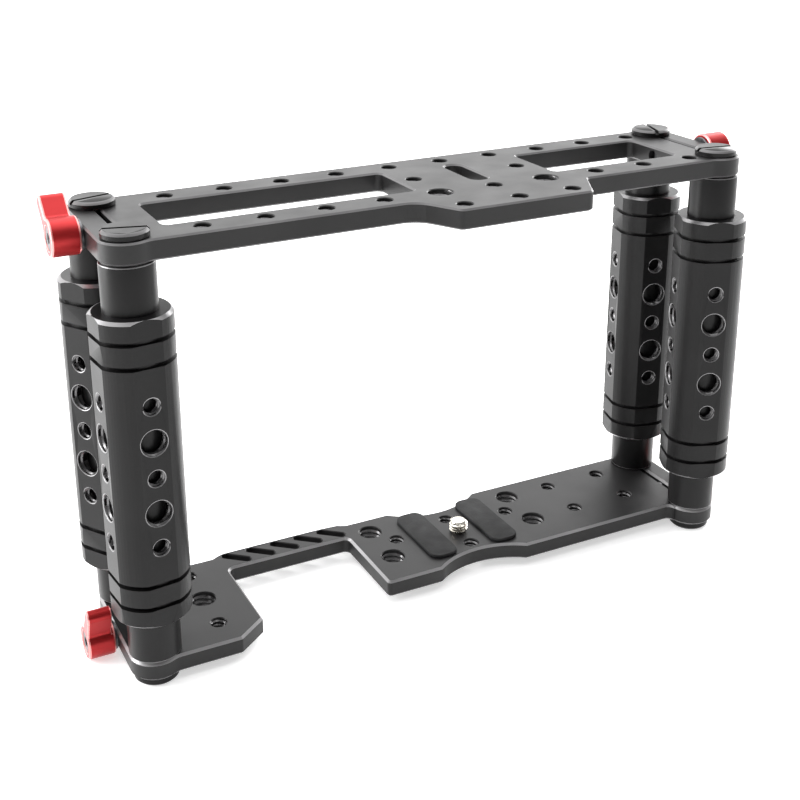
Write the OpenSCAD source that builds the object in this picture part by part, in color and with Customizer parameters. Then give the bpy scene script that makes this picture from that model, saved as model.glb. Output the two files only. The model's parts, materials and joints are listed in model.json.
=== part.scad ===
// Camera cage: two milled plates held apart by four posts, each with a turning grip sleeve.
// Millimetres, +Z up. Origin: camera screw axis at the top face of the bottom plate.

/* [Hole pattern] */
// Distance between neighbouring holes of the top plate's long rows
hole_pitch = 19.05; // [18:0.05:20]
// Half the distance between the two long rows, and between the front and rear posts
row_half = 17.8; // [17:0.1:19]
// Distance of the camera screw behind the middle of the plates
screw_back = 2.1; // [0:0.1:4]
// Drill for a 1/4 inch camera thread
small_hole_d = 5.1; // [5:0.05:5.3]
// Drill for a 3/8 inch camera thread
large_hole_d = 8; // [7.8:0.05:8.2]

/* [Plates] */
// Thickness of the top plate
top_t = 6.4; // [6:0.1:8]
// Thickness of the bottom plate
bottom_t = 6; // [5.8:0.1:8]
// Clear height between the plates
plate_gap = 125.6; // [115:0.1:150]
// Half the front-to-back size of both plates along their straight edges
plate_half = 24.2; // [23.8:0.1:25]
// Width of the clamp slits between the post holes
slit_w = 1.5; // [1:0.1:2]
// Front-to-back reach of the top plate's front tab, from the middle
tab_reach = 38.4; // [37:0.2:42]

/* [Posts and grips] */
// Left posts to the camera screw axis
post_left = 117.4; // [116:0.1:125]
// Right posts to the camera screw axis
post_right = 87.4; // [87:0.1:95]
// Diameter of a post
post_d = 16; // [15:0.1:16.4]
// Diameter of the post's neck inside a plate
neck_d = 11; // [9:0.1:12]
// Diameter of a grip over its rounded corners
grip_d = 24.2; // [23.5:0.1:25]
// Distance across a grip's flats
grip_flats = 22.4; // [22:0.1:23]
// Length of a grip
grip_len = 96; // [94:0.1:100]
// Distance between neighbouring holes of a grip
grip_hole_pitch = 11.1; // [10.8:0.1:12]

/* [Caps] */
// Diameter of the slotted caps
cap_d = 13.8; // [13:0.1:15]
// Height of the top caps
cap_h = 2.4; // [2:0.1:3]
// Height of the bottom caps that the cage stands on
foot_h = 2.7; // [2.7:0.1:4]

/* [Clamp knobs] */
// Hub diameter of a knob
knob_hub_d = 11.2; // [10:0.1:11.2]
// Reach of a knob's wing tip from the screw axis
knob_reach = 14; // [12:0.1:16]
// Thread diameter of the clamp screws
clamp_d = 4; // [3.5:0.1:4]

/* [Camera seat] */
// Diameter of the camera screw's thread
stud_d = 6.35; // [6.3:0.01:6.35]
// Height of the camera screw above the bottom plate
stud_h = 4.4; // [3.5:0.1:5.5]
// Thickness of the rubber pads
pad_t = 1.2; // [0.8:0.1:1.6]

/* [Hidden] */
$fn = 64;
CORNERS = ["front_left", "rear_left", "front_right", "rear_right"];
ENDS = ["top_left", "top_right", "bottom_left", "bottom_right"];

eps = 0.01;
run_fit = 0.05;                  // radial clearance of turning parts
mid_y = -screw_back;             // the plates' middle, seen from the camera screw
top_z = plate_gap;               // underside of the top plate
top_face = top_z + top_t;
mid_z = plate_gap / 2;
lobe_r = post_d / 2;             // plate corners follow the posts
lobe_edge = row_half + lobe_r;   // the corners stand a little proud of the straight edges
lobe_blend = 6;                  // radius that blends a corner into the straight edge
blend_reach = sqrt(pow(lobe_r + lobe_blend, 2) - pow(plate_half - row_half + lobe_blend, 2));
blend_turn = asin(blend_reach / (lobe_r + lobe_blend));
blend_steps = 3;
end_wall = 12.6;                 // post axis to the window's end wall
window_half = 12.6;
window_r = 2;
tab_front_half = 23.1;           // half width of the front tab at its tip
tab_root_half = 30.6;

// Post axes, and the angle that each grip is turned to
POSTS = [[-post_left, mid_y - row_half], [-post_left, mid_y + row_half],
         [post_right, mid_y - row_half], [post_right, mid_y + row_half]];
GRIP_TURN = [6, 33, -22, -14.5];
CAP_TURN = [-16, 15, -9, 72];

// Clamp knobs: side (-1 left, 1 right), height of the screw axis, wing angle above +Y
clamp_z_top = top_z + top_t / 2;
clamp_z_bottom = -bottom_t / 2;
CLAMPS = [[-1, clamp_z_top, 44], [1, clamp_z_top, -80],
          [-1, clamp_z_bottom, 112], [1, clamp_z_bottom, 75]];

// ---- flat shapes -------------------------------------------------------------

function flat(p) = [p[0], p[1]];
function unit(v) = v / norm(v);

// Points of a corner at b between a and c; the third number of b is its radius
function corner_arc(a, b, c) = b[2] == 0 ? [flat(b)] :
    let (u = unit(flat(a) - flat(b)), w = unit(flat(c) - flat(b)),
         half = acos(u * w) / 2,
         centre = flat(b) + unit(u + w) * b[2] / sin(half),
         from = flat(b) + u * b[2] / tan(half) - centre,
         to = flat(b) + w * b[2] / tan(half) - centre,
         start = atan2(from[1], from[0]),
         turn = (atan2(to[1], to[0]) - start + 540) % 360 - 180,
         steps = max(2, ceil(abs(turn) / 12)))
    [for (i = [0:steps]) centre + b[2] * [cos(start + turn * i / steps), sin(start + turn * i / steps)]];

// Closed outline through [x, y, corner radius] points
function rounded(pts) =
    [for (i = [0:len(pts) - 1])
        each corner_arc(pts[(i + len(pts) - 1) % len(pts)], pts[i], pts[(i + 1) % len(pts)])];

module round_rect(w, h, r) {
    square([w - 2 * r, h], center = true);
    square([w, h - 2 * r], center = true);
    for (x = [-1, 1], y = [-1, 1]) translate([x * (w / 2 - r), y * (h / 2 - r)]) circle(r);
}

module post_circles() {
    for (p = POSTS) translate(p) circle(lobe_r);
}

// ---- plates ------------------------------------------------------------------

// Outline points of a plate corner from the end face to the straight edge;
// side is 1 where the plate runs towards +X, facing is -1 at the front
function lobe_points(post_x, side, facing) = concat(
    [[post_x - side * lobe_r, facing * row_half, 0], [post_x, facing * lobe_edge, 0]],
    [for (k = [blend_steps:-1:0])
        let (t = blend_turn * k / blend_steps)
        [post_x + side * (blend_reach - lobe_blend * sin(t)),
         facing * (plate_half + lobe_blend * (1 - cos(t))), 0]]);
function reversed(pts) = [for (i = [len(pts) - 1:-1:0]) pts[i]];

module top_outline() {
    post_circles();
    translate([0, mid_y]) polygon(rounded(concat(
        lobe_points(-post_left, 1, -1),
        [[-tab_root_half, -plate_half, 8], [-tab_front_half, -tab_reach, 2.5],
         [tab_front_half, -tab_reach, 2.5], [tab_root_half, -plate_half, 2]],
        reversed(lobe_points(post_right, -1, -1)),
        lobe_points(post_right, -1, 1),
        reversed(lobe_points(-post_left, 1, 1)))));
}

module window(x0, x1) {
    translate([(x0 + x1) / 2, mid_y]) round_rect(x1 - x0, 2 * window_half, window_r);
}

module drill(x, y, d, z, depth) {
    translate([x, mid_y + y, z - eps]) cylinder(h = depth + 2 * eps, d = d);
}

// Bores for the post necks, the slit between them and the clamp screw's hole
module clamp_cuts(side, z, t, screw_depth) {
    x = side < 0 ? -post_left : post_right;
    for (y = [-row_half, row_half]) drill(x, y, neck_d + 0.1, z, t);
    translate([x - slit_w / 2, mid_y - row_half, z - eps]) cube([slit_w, 2 * row_half, t + 2 * eps]);
    translate([x + side * (lobe_r + eps), mid_y, z + t / 2]) rotate([0, -side * 90, 0])
        cylinder(h = screw_depth, d = clamp_d + 2 * run_fit);
}

module top_plate() {
    window_ends = [-24.8, 25.9];                    // ends of the windows beside the middle
    slot_w = 6.4;
    slot_len = 22;
    slot_x = 0.3;
    slot_y = 0.5;
    tab_row = 32.8;
    color("dimgray") difference() {
        translate([0, 0, top_z]) linear_extrude(top_t) difference() {
            top_outline();
            window(-post_left + end_wall, window_ends[0]);
            window(window_ends[1], post_right - end_wall);
            translate([slot_x, mid_y + slot_y]) round_rect(slot_w, slot_len, slot_w / 2 - eps);
        }
        for (i = [-5:4]) {
            drill(i * hole_pitch, row_half, small_hole_d, top_z, top_t);
            drill(i * hole_pitch, -row_half, abs(i) == 1 ? large_hole_d : small_hole_d, top_z, top_t);
        }
        for (i = [-1, 1]) drill(i * hole_pitch, 0, small_hole_d, top_z, top_t);
        for (i = [-1:1]) drill(i * hole_pitch, -tab_row, small_hole_d, top_z, top_t);
        for (side = [-1, 1]) clamp_cuts(side, top_z, top_t, lobe_r + end_wall + 1);
    }
}

bar_front = 15.7;                // thin rear bar beside the cut-out
bar_back = 25.7;
bar_blend = 3;                   // length of the slope from the bar to the straight edge
cut_left = -81.9;
cut_right = -37.2;
cut_slope = 9.6;                 // slanted front corner of the left block
seat_front = -17;                // front edge of the middle and right part
front_scoop = [29, -11.6];       // radius of the scoop in the seat's edge, and how far it comes in
rear_scoop = [27, 17.6];

module bottom_outline() {
    post_circles();
    translate([0, mid_y]) difference() {
        polygon(rounded(concat(
            lobe_points(-post_left, 1, -1),
            [[cut_left - cut_slope, -plate_half, 1], [cut_left, seat_front, 1],
             [cut_left, bar_front, 2.5], [cut_right, bar_front, 2], [cut_right, seat_front, 1.5],
             [post_right - lobe_r, seat_front, 2.5], [post_right - lobe_r, -row_half, 0],
             [post_right, -row_half - lobe_r / 2, 0], [post_right + lobe_r, -row_half, 0]],
            lobe_points(post_right, -1, 1),
            [[cut_right + bar_blend, plate_half, 1], [cut_right, bar_back, 1],
             [cut_left, bar_back, 1], [cut_left - bar_blend, plate_half, 1]],
            reversed(lobe_points(-post_left, 1, 1)))));
        translate([0, front_scoop[1] - front_scoop[0]]) circle(front_scoop[0], $fn = 128);
        translate([0, rear_scoop[1] + rear_scoop[0]]) circle(rear_scoop[0], $fn = 128);
    }
}

bar_slot_w = 3;
bar_slot_len = 10.8;
bar_slot_pitch = 8.9;
bar_slot_y = 21.1;
bar_slot_turn = -40;

// Slanted slots through the thin bar
module bar_slots() {
    for (i = [-2:2])
        translate([(cut_left + cut_right) / 2 + 0.5 + i * bar_slot_pitch, mid_y + bar_slot_y])
            rotate(bar_slot_turn) round_rect(bar_slot_len, bar_slot_w, bar_slot_w / 2 - eps);
}

block_x = 95.4;                  // hole column on the left block
block_y = 1.9;
seat_rows = [15.5, -2.6];        // hole rows beside the camera seat
head_d = 11.6;
head_h = 2.3;
washer_t = 0.5;
pocket_h = head_h + run_fit + washer_t;      // the washer lies against the pocket
screw_pair = 9.1;                // holes in front of and behind the camera screw

module bottom_plate() {
    color("dimgray") difference() {
        translate([0, 0, -bottom_t]) linear_extrude(bottom_t) difference() {
            bottom_outline();
            bar_slots();
        }
        drill(-block_x, block_y, large_hole_d, -bottom_t, bottom_t);
        for (y = [-14.95, 14.95]) drill(-block_x, block_y + y, small_hole_d, -bottom_t, bottom_t);
        for (x = [-28.4, 28.4], y = seat_rows) drill(x, y, large_hole_d, -bottom_t, bottom_t);
        for (x = [-22.3, 22.3]) drill(x, 6.7, small_hole_d, -bottom_t, bottom_t);
        for (x = [46.6, 68.9], y = seat_rows) drill(x, y, small_hole_d, -bottom_t, bottom_t);
        for (y = [-screw_pair, screw_pair]) drill(0, screw_back + y, small_hole_d, -bottom_t, bottom_t);
        drill(0, screw_back, small_hole_d, -bottom_t, bottom_t);
        translate([0, 0, -2 * bottom_t]) cylinder(h = bottom_t + pocket_h, d = head_d + 0.3);
        for (side = [-1, 1]) clamp_cuts(side, -bottom_t, bottom_t, lobe_r + end_wall + 1);
    }
}

// ---- posts, grips and caps ---------------------------------------------------

ring_places = [-36, 36];         // friction rings, measured from the grip's middle
ring_groove_w = 1.6;
ring_groove_r = 6.6;
ring_cord = 1.4;
cap_stem_d = 6;
cap_stem = 11;

module post(i) {
    edge = 0.6;
    seat = 0.1;                                     // the necks stop short of the caps
    color("dimgray") translate(POSTS[i]) difference() {
        union() {
            translate([0, 0, edge]) cylinder(h = plate_gap - 2 * edge, d = post_d);
            cylinder(h = edge, d1 = post_d - 2 * edge, d2 = post_d);
            translate([0, 0, plate_gap - edge]) cylinder(h = edge, d1 = post_d, d2 = post_d - 2 * edge);
            translate([0, 0, -bottom_t + seat])
                cylinder(h = plate_gap + bottom_t + top_t - 2 * seat, d = neck_d);
        }
        translate([0, 0, -bottom_t - eps]) cylinder(h = cap_stem + 1, d = cap_stem_d + 0.1);
        translate([0, 0, top_face - cap_stem - 1]) cylinder(h = cap_stem + 1 + eps, d = cap_stem_d + 0.1);
        for (z = ring_places) translate([0, 0, mid_z + z - ring_groove_w / 2]) difference() {
            cylinder(h = ring_groove_w, d = post_d + 1);
            cylinder(h = ring_groove_w, r = ring_groove_r);
        }
    }
}

module friction_rings(i) {
    color("black") translate(POSTS[i]) for (z = ring_places)
        translate([0, 0, mid_z + z]) rotate_extrude()
            translate([ring_groove_r + 0.02 + ring_cord / 2, 0]) circle(d = ring_cord, $fn = 24);
}

end_ring = 5.8;                  // height of the ring at each end of a grip
inner_ring = 5.8;
groove_w = 1.4;
groove_r = 10.3;

module grip(i) {
    edge = 0.9;
    half = grip_len / 2;
    color("dimgray") translate([POSTS[i][0], POSTS[i][1], mid_z]) rotate([0, 0, GRIP_TURN[i]]) difference() {
        intersection() {
            union() {
                cylinder(h = grip_len - 2 * edge, d = grip_d, center = true);
                for (s = [-1, 1]) translate([0, 0, s * (half - edge / 2)])
                    cylinder(h = edge, d1 = grip_d - (s < 0 ? 2 * edge : 0),
                             d2 = grip_d - (s > 0 ? 2 * edge : 0), center = true);
            }
            cube([grip_flats, grip_flats, grip_len], center = true);
        }
        for (s = [-1, 1], z = [half - end_ring - groove_w / 2,
                               half - end_ring - groove_w * 1.5 - inner_ring])
            translate([0, 0, s * z]) difference() {
                cylinder(h = groove_w, d = grip_d + 2, center = true);
                cylinder(h = groove_w, r = groove_r, center = true);
            }
        cylinder(h = grip_len + 2, d = post_d + 2 * run_fit, center = true);
        for (k = [-2:2], a = [0, 90]) translate([0, 0, k * grip_hole_pitch]) rotate([90, 0, a])
            cylinder(h = grip_d + 2, d = abs(k) == 1 ? large_hole_d : small_hole_d, center = true);
    }
}

// Slotted cap screw, drawn with its stem down from z = 0
module cap(h, turn) {
    under = 0.4;                                    // chamfers under and above the rim
    edge = 0.8;
    slot_w = 1.3;
    slot_depth = 1.2;
    color("gray") rotate([0, 0, turn]) difference() {
        union() {
            cylinder(h = under, d1 = cap_d - 2 * under, d2 = cap_d);
            translate([0, 0, under]) cylinder(h = h - under - edge, d = cap_d);
            translate([0, 0, h - edge]) cylinder(h = edge, d1 = cap_d, d2 = cap_d - 2 * edge);
            translate([0, 0, -cap_stem]) cylinder(h = cap_stem + eps, d = cap_stem_d);
        }
        translate([-cap_d, -slot_w / 2, h - slot_depth]) cube([2 * cap_d, slot_w, slot_depth + 1]);
    }
}

module top_cap(i) {
    translate([POSTS[i][0], POSTS[i][1], top_face]) cap(cap_h, CAP_TURN[i]);
}

module foot_cap(i) {
    translate([POSTS[i][0], POSTS[i][1], -bottom_t]) rotate([180, 0, 0]) cap(foot_h, CAP_TURN[i] + 40);
}

// ---- clamps ------------------------------------------------------------------

washer_gap = 0.05;
knob_washer_t = 0.8;
hub_t = 8.6;
wing_t = 7.6;                    // width of the wing along the screw
tip_r = 2.3;
head_pocket_d = 7.2;
head_pocket = 4.3;
socket_depth = 2;

// Places a clamp part that is drawn along +Z from the plate's end face, wing along +X
module at_clamp(i) {
    side = CLAMPS[i][0];
    x = side < 0 ? -post_left - lobe_r : post_right + lobe_r;
    angle = side < 0 ? 90 - CLAMPS[i][2] : CLAMPS[i][2] + 90;
    translate([x, mid_y, CLAMPS[i][1]]) rotate([0, side * 90, 0]) rotate([0, 0, angle]) children();
}

// A straight wing with small blends into the round hub
module wing_profile() {
    hub_r = knob_hub_d / 2;
    tip_x = knob_reach - tip_r;
    blend = 1.6;
    corner_x = sqrt(pow(hub_r + blend, 2) - pow(tip_r + blend, 2));
    translate([tip_x, 0]) circle(tip_r);
    translate([0, -tip_r]) square([tip_x, 2 * tip_r]);
    difference() {
        polygon([[0, 0], [corner_x, tip_r + blend], [corner_x, -tip_r - blend]]);
        for (y = [-1, 1]) translate([corner_x, y * (tip_r + blend)]) circle(blend);
    }
}

module knob(i) {
    base = washer_gap * 2 + knob_washer_t;
    color("firebrick") at_clamp(i) difference() {
        union() {
            translate([0, 0, base]) cylinder(h = hub_t, d = knob_hub_d);
            translate([0, 0, base + hub_t - wing_t]) linear_extrude(wing_t) wing_profile();
        }
        translate([0, 0, base - eps]) cylinder(h = hub_t, d = clamp_d + 0.1);
        translate([0, 0, base + hub_t - head_pocket]) cylinder(h = head_pocket + eps, d = head_pocket_d);
    }
}

module knob_washer(i) {
    color("silver") at_clamp(i) translate([0, 0, washer_gap]) difference() {
        cylinder(h = knob_washer_t, d = 9);
        translate([0, 0, -eps]) cylinder(h = knob_washer_t + 2 * eps, d = clamp_d + 0.1);
    }
}

module clamp_screw(i) {
    seat = washer_gap * 2 + knob_washer_t + hub_t - head_pocket;
    shank = lobe_r + end_wall - 2;                  // stops short of the window
    socket_d = 3.4;
    color("dimgray") at_clamp(i) difference() {
        union() {
            translate([0, 0, -shank]) cylinder(h = shank + seat + eps, d = clamp_d);
            translate([0, 0, seat]) cylinder(h = clamp_d, d = 7);
        }
        translate([0, 0, seat + clamp_d - socket_depth])
            cylinder(h = socket_depth + eps, d = socket_d, $fn = 6);
    }
}

// ---- camera seat -------------------------------------------------------------

// Captive screw: its slim shank turns in the tapped hole and the thread above can't drop through
module camera_screw() {
    head_top = -bottom_t + head_h;
    thread_z = 0.3;
    tip = 0.5;
    slot_w = 1.6;
    slot_depth = 1.2;
    color("lightgray") difference() {
        union() {
            translate([0, 0, -bottom_t]) cylinder(h = head_h, d = head_d);
            translate([0, 0, head_top - eps])
                cylinder(h = thread_z - head_top + 2 * eps, d = small_hole_d - 2 * run_fit);
            translate([0, 0, thread_z]) cylinder(h = stud_h - tip - thread_z, d = stud_d);
            translate([0, 0, stud_h - tip]) cylinder(h = tip, d1 = stud_d, d2 = stud_d - 2 * tip);
        }
        translate([-head_d, -slot_w / 2, -bottom_t - eps]) cube([2 * head_d, slot_w, slot_depth + eps]);
    }
}

module screw_washer() {
    color("whitesmoke") translate([0, 0, -bottom_t + head_h + run_fit]) difference() {
        cylinder(h = washer_t, d = head_d - 1);
        translate([0, 0, -eps]) cylinder(h = washer_t + 2 * eps, d = small_hole_d);
    }
}

pad_w = 10.3;
pad_x = 12.05;
pad_front = -11.7;
pad_back = 19.3;

module pad(side) {
    color("black") translate([side * pad_x, mid_y + (pad_front + pad_back) / 2, 0])
        linear_extrude(pad_t) round_rect(pad_w, pad_back - pad_front, 3.6);
}

// ---- nodes -------------------------------------------------------------------

top_plate();
bottom_plate();
for (i = [0:3]) {
    post(i);
    friction_rings(i);
    grip(i);
    top_cap(i);
    foot_cap(i);
    knob(i);
    clamp_screw(i);
    knob_washer(i);
}
camera_screw();
screw_washer();
pad(-1);  // pad_left
pad(1);  // pad_right
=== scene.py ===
"""Looks of a camera cage: two black anodised plates, four posts with turning grips, red clamp knobs."""

import json
import math

import bmesh
import bpy
from mathutils import Matrix, Vector


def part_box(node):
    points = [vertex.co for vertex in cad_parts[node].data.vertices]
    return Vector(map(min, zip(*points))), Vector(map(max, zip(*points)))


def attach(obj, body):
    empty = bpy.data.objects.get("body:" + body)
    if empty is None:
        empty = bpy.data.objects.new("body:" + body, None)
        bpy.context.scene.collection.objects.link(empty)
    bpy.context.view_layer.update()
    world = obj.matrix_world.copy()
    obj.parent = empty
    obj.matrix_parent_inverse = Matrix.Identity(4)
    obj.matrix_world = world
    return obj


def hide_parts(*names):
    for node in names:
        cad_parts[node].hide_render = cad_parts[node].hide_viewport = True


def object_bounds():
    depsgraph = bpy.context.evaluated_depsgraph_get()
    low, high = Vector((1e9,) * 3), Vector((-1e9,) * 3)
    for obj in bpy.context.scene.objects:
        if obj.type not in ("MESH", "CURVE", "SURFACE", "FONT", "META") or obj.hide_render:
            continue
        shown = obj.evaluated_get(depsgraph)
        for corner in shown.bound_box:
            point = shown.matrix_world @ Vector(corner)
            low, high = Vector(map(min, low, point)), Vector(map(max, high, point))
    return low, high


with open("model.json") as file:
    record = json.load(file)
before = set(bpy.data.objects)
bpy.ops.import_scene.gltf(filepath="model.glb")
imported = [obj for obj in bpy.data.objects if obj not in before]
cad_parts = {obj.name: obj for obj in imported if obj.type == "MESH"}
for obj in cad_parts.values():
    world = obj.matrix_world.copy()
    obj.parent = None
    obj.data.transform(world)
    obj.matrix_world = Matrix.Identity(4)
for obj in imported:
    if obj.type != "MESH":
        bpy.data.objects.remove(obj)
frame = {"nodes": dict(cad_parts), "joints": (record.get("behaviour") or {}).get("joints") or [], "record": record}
CAD_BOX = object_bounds()
MM = 0.001
CORNERS = ("front_left", "rear_left", "front_right", "rear_right")
ENDS = ("top_left", "top_right", "bottom_left", "bottom_right")
MOUNTS = {m["name"]: m for m in frame["record"]["mounts"]}
BODY_OF = {n: b for b, nodes in frame["record"]["behaviour"]["bodies"].items() for n in nodes}

# Threads: pitch of each tapped hole by its wall radius, in mm
SMALL_R, LARGE_R = 2.55, 4.0
PITCH = {SMALL_R: 1.27, LARGE_R: 1.5875}
GRIP_HOLE_STEP = 11.1 * MM
HOLE_SPAN = 13 * MM            # loops of edges narrower than this are holes or slots
WELD = 0.002 * MM
SMOOTH_UNDER = math.radians(17)
THREAD_SMOOTH_UNDER = math.radians(35)


# ---- camera and light --------------------------------------------------------

def make_camera():
    """The photograph's view: from the front left, a little above the top plate."""
    azimuth, elevation, roll = math.radians(26.27), math.radians(18.47), math.radians(-0.44)
    place = Vector((-203.4, -354.6, 234.5)) * MM
    sensor, focal_share = 36.0, 1292.4 / 800
    cam = bpy.data.objects.new("camera", bpy.data.cameras.new("camera"))
    bpy.context.scene.collection.objects.link(cam)
    forward = Vector((math.sin(azimuth) * math.cos(elevation), math.cos(azimuth) * math.cos(elevation),
                      -math.sin(elevation)))
    right = Vector((math.cos(azimuth), -math.sin(azimuth), 0))
    turn = Matrix.Rotation(-roll, 3, forward)
    right = turn @ right
    up = right.cross(forward)
    cam.matrix_world = Matrix((right, up, -forward)).transposed().to_4x4()
    cam.location = place
    cam.data.sensor_width = sensor
    cam.data.lens = sensor * focal_share
    cam.data.shift_x, cam.data.shift_y = 0.01875, -0.1625
    cam.data.clip_start, cam.data.clip_end = 0.01, 20
    bpy.context.scene.camera = cam


def area_light(name, place, target, size, power):
    light = bpy.data.lights.new(name, "AREA")
    light.shape, light.size, light.size_y = "RECTANGLE", size[0], size[1]
    light.energy = power
    obj = bpy.data.objects.new(name, light)
    bpy.context.scene.collection.objects.link(obj)
    obj.location = place
    obj.rotation_euler = (Vector(target) - Vector(place)).to_track_quat("-Z", "Y").to_euler()


def make_world():
    """A white room that is darker at the front, as a studio is, shown without tone compression."""
    world = bpy.data.worlds.new("studio")
    bpy.context.scene.world = world
    world.use_nodes = True
    nodes, links = world.node_tree.nodes, world.node_tree.links
    background = nodes["Background"]
    coord = nodes.new("ShaderNodeTexCoord")
    split = nodes.new("ShaderNodeSeparateXYZ")
    links.new(coord.outputs["Generated"], split.inputs[0])
    ramp = nodes.new("ShaderNodeMapRange")
    ramp.interpolation_type = "SMOOTHSTEP"
    ramp.inputs["From Min"].default_value = -0.8
    ramp.inputs["From Max"].default_value = 0.6
    ramp.inputs["To Min"].default_value = 0.10
    ramp.inputs["To Max"].default_value = 2.2
    links.new(split.outputs["Y"], ramp.inputs["Value"])
    links.new(ramp.outputs["Result"], background.inputs["Strength"])
    background.inputs["Color"].default_value = (1, 1, 1, 1)
    bpy.context.scene.view_settings.view_transform = "Standard"


def make_floor():
    """White paper under the cage, a little lit so that it keeps hardly any shadow."""
    lowest = CAD_BOX[0].z
    reach = 6.0
    mesh = bpy.data.meshes.new("floor")
    corners = [(-reach, -reach), (reach, -reach), (reach, reach), (-reach, reach)]
    mesh.from_pydata([(x, y, lowest) for x, y in corners], [], [(0, 1, 2, 3)])
    floor = bpy.data.objects.new("floor", mesh)
    bpy.context.scene.collection.objects.link(floor)
    mat = bpy.data.materials.new("floor_paper")
    mat.use_nodes = True
    shader = mat.node_tree.nodes["Principled BSDF"]
    shader.inputs["Base Color"].default_value = (0.85, 0.85, 0.85, 1)
    shader.inputs["Emission Color"].default_value = (1, 1, 1, 1)
    shader.inputs["Emission Strength"].default_value = 0.55
    shader.inputs["Roughness"].default_value = 0.8
    mesh.materials.append(mat)


def make_lights():
    middle = (0, 0, 0.06)
    area_light("top_softbox", (0.05, 0.1, 0.95), middle, (1.2, 0.9), 6)
    area_light("left_softbox", (-0.9, 0.35, 0.25), middle, (0.5, 0.9), 13)
    area_light("right_softbox", (0.9, 0.45, 0.3), middle, (0.4, 0.8), 8)


# ---- materials ---------------------------------------------------------------

class Shader:
    """Small helper round a material's node tree."""

    def __init__(self, name):
        self.material = bpy.data.materials.new(name)
        self.material.use_nodes = True
        self.nodes = self.material.node_tree.nodes
        self.links = self.material.node_tree.links
        self.main = self.nodes["Principled BSDF"]
        self.coord = self.nodes.new("ShaderNodeTexCoord")

    def add(self, kind, **values):
        node = self.nodes.new("ShaderNode" + kind)
        for key, value in values.items():
            key = key.replace("_", " ")
            if key in node.inputs:
                node.inputs[key].default_value = value
        return node

    def noise(self, scale, detail=3.0, stretch=(1, 1, 1)):
        mapping = self.add("Mapping")
        mapping.inputs["Scale"].default_value = stretch
        self.links.new(self.coord.outputs["Object"], mapping.inputs["Vector"])
        tex = self.add("TexNoise", Scale=scale, Detail=detail)
        self.links.new(mapping.outputs[0], tex.inputs["Vector"])
        return tex.outputs["Fac"]

    def spread(self, value, low, high):
        """A noise's usual range, 0.3 to 0.7, spread from low to high."""
        node = self.add("MapRange")
        for key, number in zip(("From Min", "From Max", "To Min", "To Max"), (0.3, 0.7, low, high)):
            node.inputs[key].default_value = number
        self.links.new(value, node.inputs["Value"])
        return node.outputs["Result"]

    def mix(self, factor, a, b):
        node = self.nodes.new("ShaderNodeMix")
        node.data_type = "RGBA"
        node.inputs[6].default_value = (*a, 1)
        node.inputs[7].default_value = (*b, 1)
        self.links.new(factor, node.inputs[0])
        return node.outputs[2]

    def bump(self, height, strength, distance):
        node = self.add("Bump", Strength=strength, Distance=distance)
        self.links.new(height, node.inputs["Height"])
        return node

    def set(self, **values):
        for key, value in values.items():
            socket = self.main.inputs[key.replace("_", " ")]
            if isinstance(value, bpy.types.NodeSocket):
                self.links.new(value, socket)
            else:
                socket.default_value = value


def anodised(name, dark, light, roughness, metallic=0.0, grain=0.10, stretch=(1, 1, 1), ior=1.36):
    """Bead-blasted anodised aluminium: fine grain, faint cloudy patches in tone and gloss."""
    sh = Shader(name)
    cloud = sh.noise(35, 4)
    speck = sh.noise(1800, 2, stretch)
    sh.set(Base_Color=sh.mix(sh.spread(cloud, 0, 1), dark, light),
           Metallic=metallic, IOR=ior,
           Roughness=sh.spread(sh.noise(60, 4), roughness - 0.04, roughness + 0.06))
    bump = sh.bump(speck, grain, 0.00006)
    sh.links.new(bump.outputs[0], sh.main.inputs["Normal"])
    return sh.material


def rubber(name):
    sh = Shader(name)
    sh.set(Base_Color=sh.mix(sh.spread(sh.noise(90, 4), 0, 1),
                             (0.016, 0.016, 0.0165), (0.022, 0.022, 0.0225)),
           Roughness=sh.spread(sh.noise(220, 3), 0.72, 0.88), IOR=1.36)
    fine, coarse = sh.noise(1500, 3), sh.noise(300, 2)
    first = sh.bump(fine, 0.5, 0.00012)
    second = sh.bump(coarse, 0.25, 0.0003)
    sh.links.new(first.outputs[0], second.inputs["Normal"])
    sh.links.new(second.outputs[0], sh.main.inputs["Normal"])
    return sh.material


def bare_metal(name, dark, light, roughness):
    sh = Shader(name)
    sh.set(Base_Color=sh.mix(sh.spread(sh.noise(500, 3), 0, 1), dark, light), Metallic=1.0,
           Roughness=sh.spread(sh.noise(900, 3), roughness - 0.08, roughness + 0.1))
    bump = sh.bump(sh.noise(1500, 2, (1, 1, 6)), 0.2, 0.00005)
    sh.links.new(bump.outputs[0], sh.main.inputs["Normal"])
    return sh.material


def nylon(name):
    sh = Shader(name)
    sh.set(Base_Color=sh.mix(sh.spread(sh.noise(200, 3), 0, 1), (0.80, 0.79, 0.75), (0.86, 0.85, 0.82)),
           Roughness=0.45, Subsurface_Weight=0.1)
    return sh.material


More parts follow.
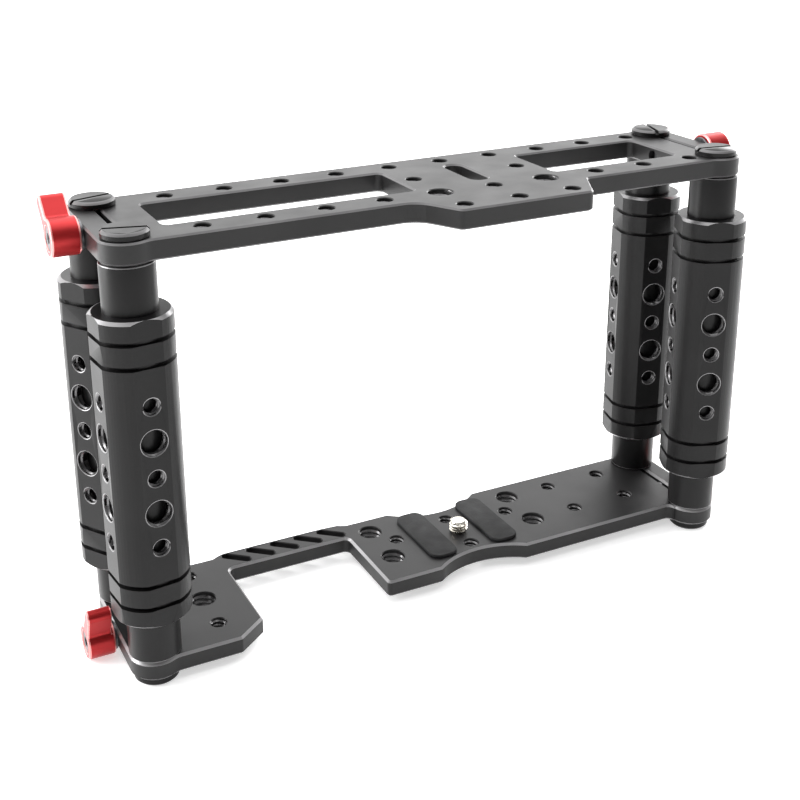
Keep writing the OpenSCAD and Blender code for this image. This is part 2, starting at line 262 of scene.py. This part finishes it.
def make_materials():
    return {
        "black": anodised("black_anodised", (0.010, 0.0097, 0.010), (0.015, 0.0146, 0.0149), 0.38),
        # A lighter copy of the black anodising for the chamfers of the top plate and of the caps: a painted
        # highlight.
        "grey_edge_painted_highlight": anodised("grey_edge_painted_highlight", (0.09, 0.088, 0.09), (0.14, 0.138, 0.14), 0.36, metallic=0.4),
        # A far lighter copy of the black anodising for the bottom plate's chamfers: a painted highlight.
        "black_edge_painted_highlight": anodised("black_edge_painted_highlight", (0.22, 0.217, 0.22), (0.32, 0.315, 0.32), 0.38, metallic=0.5),
        "turned": anodised("black_turned", (0.006, 0.0058, 0.006), (0.010, 0.0097, 0.0099), 0.32, ior=1.28,
                           grain=0.14, stretch=(1, 1, 9)),
        # A far lighter copy of the turned finish for the bevels and chamfers of posts and grips: a painted
        # highlight.
        "turned_edge_painted_highlight": anodised("turned_edge_painted_highlight", (0.20, 0.197, 0.20), (0.30, 0.296, 0.30), 0.30, metallic=0.6),
        # The threads' grey, far lighter than the black anodising they are cut in, is a painted glint.
        "thread": anodised("thread_painted_glint", (0.10, 0.098, 0.10), (0.17, 0.167, 0.17), 0.24, metallic=0.7),
        "red": anodised("red_anodised", (0.34, 0.014, 0.016), (0.44, 0.022, 0.024), 0.33, metallic=0.5,
                        grain=0.08),
        # A pale pink copy of the red anodising for the knobs' bevels: a painted highlight.
        "red_edge_painted_highlight": anodised("red_edge_painted_highlight", (0.80, 0.25, 0.25), (0.90, 0.38, 0.36), 0.30, metallic=0.6),
        "steel": bare_metal("dark_steel", (0.10, 0.10, 0.105), (0.16, 0.16, 0.165), 0.36),
        "nickel": bare_metal("nickel", (0.70, 0.66, 0.58), (0.86, 0.83, 0.76), 0.24),
        "rubber": rubber("black_rubber"),
        "nylon": nylon("white_nylon"),
    }


# ---- meshes ------------------------------------------------------------------

def sharp(edge, least=math.radians(32)):
    return edge.is_manifold and edge.is_convex and edge.calc_face_angle(0) > least


def edge_groups(bm):
    """Connected groups of the mesh's sharp outer edges."""
    left = {e for e in bm.edges if sharp(e)}
    while left:
        group, stack = set(), [left.pop()]
        while stack:
            edge = stack.pop()
            group.add(edge)
            for vert in edge.verts:
                near = [e for e in vert.link_edges if e in left]
                left.difference_update(near)
                stack.extend(near)
        yield group


def middle_extent(group):
    """The middle one of a group's three extents: small round a hole, however deep."""
    points = [v.co for e in group for v in e.verts]
    spans = [max(p[i] for p in points) - min(p[i] for p in points) for i in range(3)]
    return sorted(spans)[1]


def add_object(name, bm, mats):
    mesh = bpy.data.meshes.new(name)
    bm.to_mesh(mesh)
    bm.free()
    for m in mats:
        mesh.materials.append(m)
    obj = bpy.data.objects.new(name, mesh)
    bpy.context.scene.collection.objects.link(obj)
    return obj


def ride_and_replace(obj, node):
    """Shows obj in the CAD node's place, on the node's body."""
    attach(obj, BODY_OF[node])
    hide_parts(node)


def finished_copy(node, mats, outline, rim, small=HOLE_SPAN, change=None, segments=2,
                  holes_only=False):
    """A machined version of a CAD node, with its outer edges broken.

    outline is the chamfer of long edges and rim that of holes and slots, both in mm.
    With holes_only the CAD's own chamfers are kept and only hole rims are broken."""
    bm = bmesh.new()
    bm.from_mesh(frame["nodes"][node].data)
    bmesh.ops.remove_doubles(bm, verts=bm.verts, dist=WELD)
    if not holes_only:
        bmesh.ops.dissolve_limit(bm, angle_limit=math.radians(0.6), verts=bm.verts, edges=bm.edges)
    if change:
        change(bm)
    weight = bm.edges.layers.float.new("bevel_weight_edge")
    for group in edge_groups(bm):
        if middle_extent(group) < small:
            share = min(1.0, rim / outline)
        else:
            share = 0.0 if holes_only else 1.0
        for edge in group:
            edge[weight] = share
    for face in bm.faces:
        face.smooth = True
        # With holes_only, slanted chamfer faces take the second material, a lighter copy of the finish: a painted
        # highlight.
        face.material_index = int(holes_only and 0.3 < abs(face.normal.z) < 0.9)
    obj = add_object(node + "_finished", bm, mats)
    bevel = obj.modifiers.new("broken_edges", "BEVEL")
    bevel.limit_method = "WEIGHT"
    bevel.width = outline * MM
    bevel.segments = segments
    bevel.use_clamp_overlap = False
    # The bevel faces take the second material, a lighter copy of the finish: a painted highlight.
    bevel.material = 1 if len(mats) > 1 else -1
    bevel.miter_outer = "MITER_ARC"
    bpy.context.view_layer.update()
    rough = obj.data
    obj.data = bpy.data.meshes.new_from_object(obj.evaluated_get(bpy.context.evaluated_depsgraph_get()))
    obj.modifiers.clear()
    bpy.data.meshes.remove(rough)
    obj.data.set_sharp_from_angle(angle=SMOOTH_UNDER)
    ride_and_replace(obj, node)


def boundary_loops(edges):
    """Closed loops of a flat region's outline: lists of corners in order."""
    left = set(edges)
    while left:
        edge = left.pop()
        start, at = edge.verts
        loop = [start]
        while at is not start:
            loop.append(at)
            edge = next(e for e in at.link_edges if e in left)
            left.discard(edge)
            at = edge.other_vert(at)
        yield loop


def chamfered_plate(node, mats, outline, rim, small=HOLE_SPAN):
    """A plate whose two large faces are chamfered: outline round the outside, rim round holes, in mm."""
    longest_miter = 2.2
    bm = bmesh.new()
    bm.from_mesh(frame["nodes"][node].data)
    bmesh.ops.remove_doubles(bm, verts=bm.verts, dist=WELD)
    low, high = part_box(node)
    for level, up in ((high.z, 1), (low.z, -1)):
        faces = [f for f in bm.faces
                 if f.normal.z * up > 0.99 and abs(f.calc_center_median().z - level) < 1e-5]
        inside = set(faces)
        rim_edges = [e for e in bm.edges if sum(f in inside for f in e.link_faces) == 1]
        share = {}
        for loop in boundary_loops(rim_edges):
            spans = [max(v.co[k] for v in loop) - min(v.co[k] for v in loop) for k in (0, 1)]
            for vert in loop:
                share[vert.co.copy().freeze()] = rim / outline if max(spans) < small else 1.0
        bmesh.ops.inset_region(bm, faces=faces, thickness=outline * MM, use_boundary=True,
                               use_even_offset=True)
        flat = {v for f in inside for v in f.verts}
        for outer in [v for v in bm.verts if v not in flat and v.co.copy().freeze() in share]:
            part = share[outer.co.copy().freeze()]
            spot = outer.co.copy()
            reach = longest_miter * outline * MM
            for edge in outer.link_edges:
                inner = edge.other_vert(outer)
                if inner in flat:
                    step = inner.co - spot
                    inner.co = spot + step * (part * min(1.0, reach / max(step.length, 1e-9)))
                    # Outline chamfer faces take the plate's second material, a lighter copy of its finish: a
                    # painted highlight.
                    if part == 1.0:
                        for face in edge.link_faces:
                            face.material_index = 1
            outer.co.z = level - up * outline * MM * part
    for face in bm.faces:
        face.smooth = True
    obj = add_object(node + "_finished", bm, mats)
    obj.data.set_sharp_from_angle(angle=SMOOTH_UNDER)
    ride_and_replace(obj, node)


def thread_ridge(bm, place, axis, radius, length, pitch, depth, inward=True, steps=22):
    """Adds a helical ridge on a wall of that radius, centred on place; lengths in metres."""
    axis = Vector(axis).normalized()
    side = axis.orthogonal().normalized()
    across = axis.cross(side)
    crest = radius - depth if inward else radius + depth
    root = radius + (0.04 if inward else -0.04) * MM
    half = pitch * 0.40
    count = int(length / pitch * steps)
    rings = []
    for i in range(count + 1):
        turn = math.tau * i / steps
        along = -length / 2 + length * i / count
        fade = min(1.0, i / 5, (count - i) / 5)
        out = side * math.cos(turn) + across * math.sin(turn)
        tip = root + (crest - root) * max(fade, 0.05)
        centre = Vector(place) + axis * along
        ring = [centre - axis * half + out * root, centre - axis * 0.10 * pitch + out * tip,
                centre + axis * 0.10 * pitch + out * tip, centre + axis * half + out * root]
        rings.append([bm.verts.new(p) for p in ring])
    for a, b in zip(rings, rings[1:]):
        for k in range(4):
            n = (k + 1) % 4
            quad = (a[k], a[n], b[n], b[k]) if inward else (a[k], b[k], b[n], a[n])
            bm.faces.new(quad)
    bm.faces.new(rings[0] if not inward else rings[0][::-1])
    bm.faces.new(rings[-1][::-1] if not inward else rings[-1])


def pattern_holes(mount):
    """Centres of a bolt pattern's holes."""
    dims, centre = mount["dims"], Vector(mount["pos_m"])
    xs = [-0.5, 0.5] if "spacing_x_mm" in dims else [0]
    ys = [-0.5, 0.5] if "spacing_y_mm" in dims else [0]
    for x in xs:
        for y in ys:
            yield centre + Vector((x * dims.get("spacing_x_mm", 0), y * dims.get("spacing_y_mm", 0), 0)) * MM


def plate_holes(node):
    """(centre of the top rim, wall radius in mm) of each tapped hole of a plate."""
    low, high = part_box(node)
    for mount in MOUNTS.values():
        place = Vector(mount["pos_m"])
        if not low.z - 1e-5 <= place.z <= high.z + 1e-5 or mount["axis"][2] < 0.9:
            continue
        if mount["kind"] == "bolt_pattern":
            for hole in pattern_holes(mount):
                yield Vector((hole.x, hole.y, high.z)), mount["dims"]["hole_r_mm"]
        elif mount["kind"] == "threaded_hole":
            yield Vector((place.x, place.y, high.z)), mount["dims"]["r_mm"]


def plate_threads(node):
    low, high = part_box(node)
    depth = high.z - low.z
    bm = bmesh.new()
    for rim, r in plate_holes(node):
        pitch = PITCH[r] * MM
        ridge = depth - 1.6 * MM
        thread_ridge(bm, rim - Vector((0, 0, depth / 2)), (0, 0, 1), r * MM, ridge, pitch, 0.42 * MM)
    shown(node + "_threads", bm, MATS["thread"], "cage")


def shown(name, bm, mat, body):
    for face in bm.faces:
        face.smooth = True
    obj = add_object(name, bm, [mat])
    obj.data.set_sharp_from_angle(angle=THREAD_SMOOTH_UNDER)
    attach(obj, body)


def joint_place(name):
    joint = next(j for j in frame["joints"] if j["name"] == name)
    return Vector(joint["pos_m"])


def grip_flat_angle(corner):
    """Direction of a grip's first flat, read from its mesh: the flats are its largest faces."""
    mesh = frame["nodes"]["grip_" + corner].data
    areas = {}
    for poly in mesh.polygons:
        n = poly.normal
        if abs(n.z) < 0.01:
            key = round(math.degrees(math.atan2(n.y, n.x)) % 90 * 2) / 2
            areas[key] = areas.get(key, 0) + poly.area
    return math.radians(max(areas, key=areas.get))


def grip_threads(corner):
    centre = joint_place(f"grip_{corner}_turn")
    wall_in, wall_out = 8.05 * MM, 11.2 * MM
    bm = bmesh.new()
    first = grip_flat_angle(corner)
    for flat in range(4):
        angle = first + flat * math.pi / 2
        out = Vector((math.cos(angle), math.sin(angle), 0))
        for k in range(-2, 3):
            r = LARGE_R if abs(k) == 1 else SMALL_R
            place = centre + Vector((0, 0, k * GRIP_HOLE_STEP)) + out * ((wall_in + wall_out) / 2 - 0.1 * MM)
            thread_ridge(bm, place, out, r * MM, wall_out - wall_in - 0.9 * MM, PITCH[r] * MM, 0.40 * MM)
    shown(f"grip_{corner}_threads", bm, MATS["thread"], "grip_" + corner)


STUD_MAJOR, STUD_CORE = 3.175 * MM, 2.68 * MM
STUD_PITCH = 0.8 * PITCH[SMALL_R] * MM


def slim_stud(bm):
    """Turns the stud's plain outside into the thread's core."""
    for v in bm.verts:
        r = math.hypot(v.co.x, v.co.y)
        if v.co.z > 0.2 * MM and r > 2.6 * MM:
            share = STUD_CORE / STUD_MAJOR
            v.co.x *= share
            v.co.y *= share


def camera_screw():
    finished_copy("camera_screw", [MATS["nickel"]], 0.12, 0.12, change=slim_stud)
    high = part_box("camera_screw")[1]
    bottom, top = 0.45 * MM, high.z - 0.55 * MM
    bm = bmesh.new()
    thread_ridge(bm, (0, 0, (bottom + top) / 2), (0, 0, 1), STUD_CORE, top - bottom, STUD_PITCH,
                 0.49 * MM, inward=False, steps=36)
    shown("camera_screw_thread", bm, MATS["nickel"], "camera_screw")


# ---- the cage ----------------------------------------------------------------

make_camera()
make_world()
make_floor()
make_lights()
MATS = make_materials()

chamfered_plate("top_plate", [MATS["black"], MATS["grey_edge_painted_highlight"]], 0.55, 0.28)
chamfered_plate("bottom_plate", [MATS["black"], MATS["black_edge_painted_highlight"]], 0.75, 0.28)
plate_threads("top_plate")
plate_threads("bottom_plate")

for corner in CORNERS:
    finished_copy("post_" + corner, [MATS["turned"], MATS["turned_edge_painted_highlight"]], 0.15, 0.15)
    finished_copy("grip_" + corner, [MATS["turned"], MATS["turned_edge_painted_highlight"]], 0.30, 0.30,
                  holes_only=True)
    for kind in ("top_cap_", "foot_cap_"):
        finished_copy(kind + corner, [MATS["turned"], MATS["grey_edge_painted_highlight"]], 0.2, 0.15,
                      holes_only=True)
    grip_threads(corner)
    frame["nodes"]["friction_rings_" + corner].data.materials.clear()
    frame["nodes"]["friction_rings_" + corner].data.materials.append(MATS["rubber"])

for end in ENDS:
    finished_copy("knob_" + end, [MATS["red"], MATS["red_edge_painted_highlight"]], 0.6, 0.35, small=9 * MM)
    finished_copy("clamp_screw_" + end, [MATS["steel"]], 0.2, 0.15)
    finished_copy("knob_washer_" + end, [MATS["steel"]], 0.12, 0.12)

camera_screw()
finished_copy("screw_washer", [MATS["nylon"]], 0.08, 0.08)
for side in ("left", "right"):
    finished_copy("pad_" + side, [MATS["rubber"]], 0.35, 0.35, segments=4)
